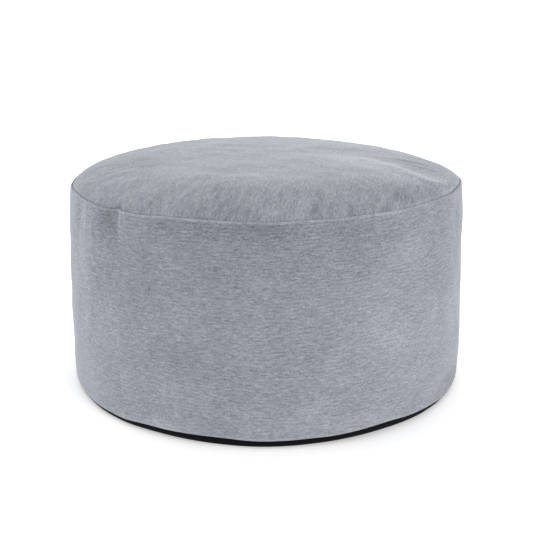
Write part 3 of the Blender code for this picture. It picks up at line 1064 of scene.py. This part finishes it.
def make_side():
    seam = seam_heights(columns) - PANEL_GAP / 2
    bottom = HEM_HEIGHT + PANEL_GAP / 2
    hem = bottom + wander(HEM_WANDER, columns)
    sewn = SEAM_RADIUS - LIP_DEPTH + wall_relief(columns, seam)
    floor_of_groove = seam - groove(columns)[0]
    top = SEAM_HEIGHT - PANEL_GAP / 2 - GROOVE_DEPTH
    rings = face_rings(columns, sewn, floor_of_groove, top)
    rings.append(ring(columns, sewn, floor_of_groove))
    painted_light_and_streak_rings = [wall_painted_light(columns, seam)] * len(rings)

    def add_ring(out, height, marks):
        rings.append(ring(columns, out, height))
        painted_light_and_streak_rings.append(wall_painted_light(columns, height) + marks)

    lip_rise = wander(LIP_RISES, columns)
    # The side's lip gets a painted highlight.
    lip_highlight = wander(LIP_PAINTED_HIGHLIGHT, columns) / MM
    # The groove gets painted shade.
    groove_shade = wander(GROOVE_PAINTED_SHADE, columns) / MM
    crest = sewn + PANEL_GAP + (LIP_DEPTH - PANEL_GAP) * LIP_CREST
    for step in range(LIP_RINGS):
        turn = step / LIP_RINGS * math.pi / 2
        out = crest - (crest - sewn - PANEL_GAP) * math.cos(turn)
        height = floor_of_groove + (seam + lip_rise - floor_of_groove) * math.sin(turn)
        add_ring(out, height, groove_shade * math.cos(turn) + lip_highlight * math.sin(turn) ** 2)
    for step in range(LIP_RINGS):
        turn = step / LIP_RINGS * math.pi / 2
        out = crest + (sewn + LIP_DEPTH - crest) * math.sin(turn)
        height = seam + (lip_rise + LIP_ROUND) * math.cos(turn) - LIP_ROUND
        add_ring(out, height, lip_highlight * math.cos(turn))
    for step in range(WALL_RINGS + 1):
        share = (1.0 - math.cos(step / WALL_RINGS * math.pi)) / 2.0
        height = (seam - LIP_ROUND) * (1.0 - share) + (hem + FOLD_DEPTH) * share
        out = wall_radius(share) + wall_relief(columns, height)
        add_ring(out, height, HEM_PAINTED_HIGHLIGHT * bump(height - hem - FOLD_DEPTH, HEM_HIGHLIGHT_FADE))
    tucked = HEM_RADIUS - FOLD_DEPTH
    relief = wall_relief(columns, hem)
    for step in range(1, FOLD_RINGS + 1):
        turn = step / FOLD_RINGS * math.pi / 2
        out = tucked + FOLD_DEPTH * math.cos(turn) + relief
        rings.append(ring(columns, out, hem + FOLD_DEPTH * (1.0 - math.sin(turn))))
    rings += reversed(face_rings(columns, tucked, hem, bottom))
    painted_light_and_streak_rings += [painted_light_and_streak_rings[-1]] * (len(rings) - len(painted_light_and_streak_rings))

    once_round = np.radians(np.append(columns, columns[0] + 360.0) - SIDE_SEAM_ANGLE) * SEAM_RADIUS
    steps = [np.linalg.norm(after - before, axis=1).mean() for before, after in zip(rings, rings[1:])]
    down = np.cumsum([0.0, *steps])

    def side_flatten(points, index):
        """The strip laid flat: the way round from the upright seam, and the way up."""
        return np.stack([once_round, np.full(len(points), -down[index])], axis=-1)

    return closed_cloth("side_cloth", rings, painted_light_and_streak_rings, top, bottom, side_flatten)


side_cloth = make_side()

# %% [markdown]
# ## The base
#
# The base is a round of black cloth. Its middle lies flat on the floor, and its edge curls up and
# out to the hem, so that from the front only a thin dark rim shows.

# %% The base
CURL_RINGS = 16


def base_flatten(points, index):
    """The plan of the base in metres."""
    return points[:, :2]


def make_base():
    top = HEM_HEIGHT - PANEL_GAP / 2
    hem = top + wander(HEM_WANDER, columns)
    rest = REST_RADIUS + wander(REST_WANDER, columns)
    sewn = HEM_RADIUS - BASE_TUCK + wall_relief(columns, hem)
    rings = face_rings(columns, sewn, hem, top)
    for step in range(CURL_RINGS + 1):
        turn = step / CURL_RINGS * math.pi / 2
        rings.append(ring(columns, rest + (sewn - rest) * math.cos(turn), hem * (1.0 - math.sin(turn))))
    rings += reversed(face_rings(columns, rest, 0.0 * hem, 0.0))
    return closed_cloth("base_cloth", rings, [0.0] * len(rings), top, 0.0, base_flatten)


base_cloth = make_base()

# %% [markdown]
# ## Grey chenille
#
# Chenille is woven from fuzzy yarns, here in greys dyed a little unevenly, which gives the heather
# look: short dark and light flecks that follow each weft yarn, crossed by finer and fainter warp
# yarns. Its cut pile is matt and scatters light at glancing angles, so the drum is lighter towards
# its outline.
#
# We could draw the weave with Blender's Brick or Wave textures, but their rows are all alike.
# Instead each yarn gets a number by rounding down its place on the UV map, and that number picks
# its own strip out of a noise texture. Along the yarn the noise changes slowly, across the yarns
# at once, and that is exactly how a flecked yarn looks in cloth. One tone is added up from the
# painted light and shade with the streaks, the mottle of the dye, the flecks and the ribs, and a
# colour ramp turns it into greys.

# %% Grey chenille
# Real yarns of this cloth are about 1 mm apart, which is finer than one pixel of the picture, so
# what shows of them is their flecks, and the ribs that every fifth, thicker yarn makes.
# Columns: axes of the UV map across and along the yarns, pitch and length of a fleck in m,
# strength of the flecks, and how far apart in the noise two neighbours are.
YARNS = (
    ("Y", "X", 0.0010, 0.0130, 1.02, 7.31),
    ("X", "Y", 0.0011, 0.0045, 0.60, 5.17),
)
RIB_PITCH = 0.0050
RIB_TONE = 0.018
MOTTLE_SIZE = 0.060
MOTTLE_TONE = 0.12
# How strongly the painted light and shade, with the streaks, moves the tone.
PAINTED_LIGHT_AND_STREAK_TONE = 0.05
YARN_WOBBLE = 0.0004
WOBBLE_LENGTH = 0.030

chenille = bpy.data.materials.new("grey_heather_chenille")
chenille.use_nodes = True


def dress_in_chenille(material):
    tree = material.node_tree
    uv = add_node(tree, "ShaderNodeUVMap", uv_map="cut_cloth").outputs["UV"]

    # Yarns are never quite straight, so the map is shifted a little by a slow noise.
    fed = {"Vector": uv, "Scale": 1.0 / WOBBLE_LENGTH, "Detail": 1.0}
    slow = add_node(tree, "ShaderNodeTexNoise", fed, noise_dimensions="2D")
    fed = {0: slow.outputs["Color"], 1: (0.5, 0.5, 0.5)}
    centred = add_node(tree, "ShaderNodeVectorMath", fed, operation="SUBTRACT")
    fed = {0: centred.outputs[0], "Scale": 4.0 * YARN_WOBBLE}
    wobble = add_node(tree, "ShaderNodeVectorMath", fed, operation="SCALE")
    moved = add_node(tree, "ShaderNodeVectorMath", {0: uv, 1: wobble.outputs[0]}, operation="ADD")
    place = add_node(tree, "ShaderNodeSeparateXYZ", {0: moved.outputs[0]})

    # The painted light and shade, with the streaks, read from each point of the mesh.
    painted_light_and_streaks = add_node(tree, "ShaderNodeAttribute", attribute_name="painted_light_and_streaks").outputs["Fac"]
    fed = {"Vector": uv, "Scale": 1.0 / MOTTLE_SIZE, "Detail": 3.0}
    mottle = add_node(tree, "ShaderNodeTexNoise", fed, noise_dimensions="2D").outputs[0]
    layers = [(painted_light_and_streaks, PAINTED_LIGHT_AND_STREAK_TONE), (mottle, MOTTLE_TONE)]
    relief = 0.0
    for across, along, pitch, fleck, strength, apart in YARNS:
        fed = {0: place.outputs[across], 1: pitch}
        counted = add_node(tree, "ShaderNodeMath", fed, operation="DIVIDE").outputs[0]
        number = add_node(tree, "ShaderNodeMath", {0: counted}, operation="FLOOR").outputs[0]
        strip = add_node(tree, "ShaderNodeMath", {0: number, 1: apart}, operation="MULTIPLY")
        fed = {0: place.outputs[along], 1: fleck}
        length = add_node(tree, "ShaderNodeMath", fed, operation="DIVIDE")
        spot = add_node(tree, "ShaderNodeCombineXYZ", {"X": length.outputs[0], "Y": strip.outputs[0]})
        fed = {"Vector": spot.outputs[0], "Scale": 1.0, "Detail": 6.0, "Roughness": 0.88}
        noise = add_node(tree, "ShaderNodeTexNoise", fed, noise_dimensions="2D").outputs[0]
        layers.append((noise, strength))

        # The sine's size, without its sign, is the round back of each yarn.
        turns = add_node(tree, "ShaderNodeMath", {0: counted, 1: math.pi}, operation="MULTIPLY")
        wave = add_node(tree, "ShaderNodeMath", {0: turns.outputs[0]}, operation="SINE")
        back = add_node(tree, "ShaderNodeMath", {0: wave.outputs[0]}, operation="ABSOLUTE")
        fed = {0: back.outputs[0], 1: relief}
        relief = add_node(tree, "ShaderNodeMath", fed, operation="ADD").outputs[0]

    fed = {0: place.outputs["Y"], 1: math.tau / RIB_PITCH}
    turns = add_node(tree, "ShaderNodeMath", fed, operation="MULTIPLY")
    rib = add_node(tree, "ShaderNodeMath", {0: turns.outputs[0]}, operation="SINE").outputs[0]
    layers.append((rib, RIB_TONE))

    # Each noise is 0.5 on average, so half of its strength is taken off at the start.
    tone = 0.5 - (MOTTLE_TONE + sum(row[4] for row in YARNS)) / 2.0
    for value, strength in layers:
        fed = {0: value, 1: strength, 2: tone}
        tone = add_node(tree, "ShaderNodeMath", fed, operation="MULTIPLY_ADD").outputs[0]
    ramp = add_node(tree, "ShaderNodeValToRGB", {"Fac": tone})
    stops = ((0.15, "#4a4d54"), (0.50, "#8f929a"), (0.85, "#bec2ca"))
    for index, (at, color) in enumerate(stops):
        stop = ramp.color_ramp.elements[index] if index < 2 else ramp.color_ramp.elements.new(at)
        stop.position = at
        stop.color = linear(color)
    raised = add_node(tree, "ShaderNodeBump", {"Height": relief, "Strength": 0.15, "Distance": 0.0002})
    look = {
        "Base Color": ramp.outputs["Color"],
        "Normal": raised.outputs["Normal"],
        "Roughness": 0.95,
        "Specular IOR Level": 0.1,
        "Sheen Weight": 0.34,
        "Sheen Roughness": 0.5,
        "Sheen Tint": linear("#f4f8ff"),
    }
    feed(tree.nodes["Principled BSDF"], look)


dress_in_chenille(chenille)
print("chenille nodes:", len(chenille.node_tree.nodes))

# %% [markdown]
# ## Black base cloth
#
# The base is a plain-woven, hard-wearing synthetic cloth, dyed black through. It is smoother than
# chenille and swallows nearly all light, so only a weak shine shows its weave.

# %% Black base cloth
BASE_YARN_PITCH = 0.0012

black_weave = bpy.data.materials.new("black_woven_base_cloth")
black_weave.use_nodes = True


def dress_in_black(material):
    tree = material.node_tree
    uv = add_node(tree, "ShaderNodeUVMap", uv_map="cut_cloth").outputs["UV"]
    place = add_node(tree, "ShaderNodeSeparateXYZ", {0: uv})
    turns = math.pi / BASE_YARN_PITCH
    waves = []
    for axis in ("X", "Y"):
        fed = {0: place.outputs[axis], 1: turns}
        scaled = add_node(tree, "ShaderNodeMath", fed, operation="MULTIPLY").outputs[0]
        waves.append(add_node(tree, "ShaderNodeMath", {0: scaled}, operation="SINE").outputs[0])
    fed = {0: waves[0], 1: waves[1]}
    crossing = add_node(tree, "ShaderNodeMath", fed, operation="MULTIPLY").outputs[0]
    raised = add_node(tree, "ShaderNodeBump", {"Height": crossing, "Strength": 0.5, "Distance": 0.0001})
    ramp = add_node(tree, "ShaderNodeValToRGB", {"Fac": crossing})
    ramp.color_ramp.elements[0].color = linear("#030407")
    ramp.color_ramp.elements[1].color = linear("#080a0f")
    look = {
        "Base Color": ramp.outputs["Color"],
        "Normal": raised.outputs["Normal"],
        "Roughness": 0.75,
        "Specular IOR Level": 0.12,
    }
    feed(tree.nodes["Principled BSDF"], look)


dress_in_black(black_weave)
print("black base cloth nodes:", len(black_weave.node_tree.nodes))

# %% [markdown]
# ## Sew it all together
#
# Each piece takes its material, rides on the pouf's one body, and stands for the imported node that
# it replaces. All three are filled tight.

# %% Dress the pieces and hand them over
PIECES = (
    (top_cloth, "top_panel", "grey_chenille", chenille),
    (side_cloth, "side_band", "grey_chenille", chenille),
    (base_cloth, "base_panel", "black_base_cloth", black_weave),
)
for piece, node, finish, material in PIECES:
    piece.data.materials.append(material)
    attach(piece, "root")
    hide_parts(node)
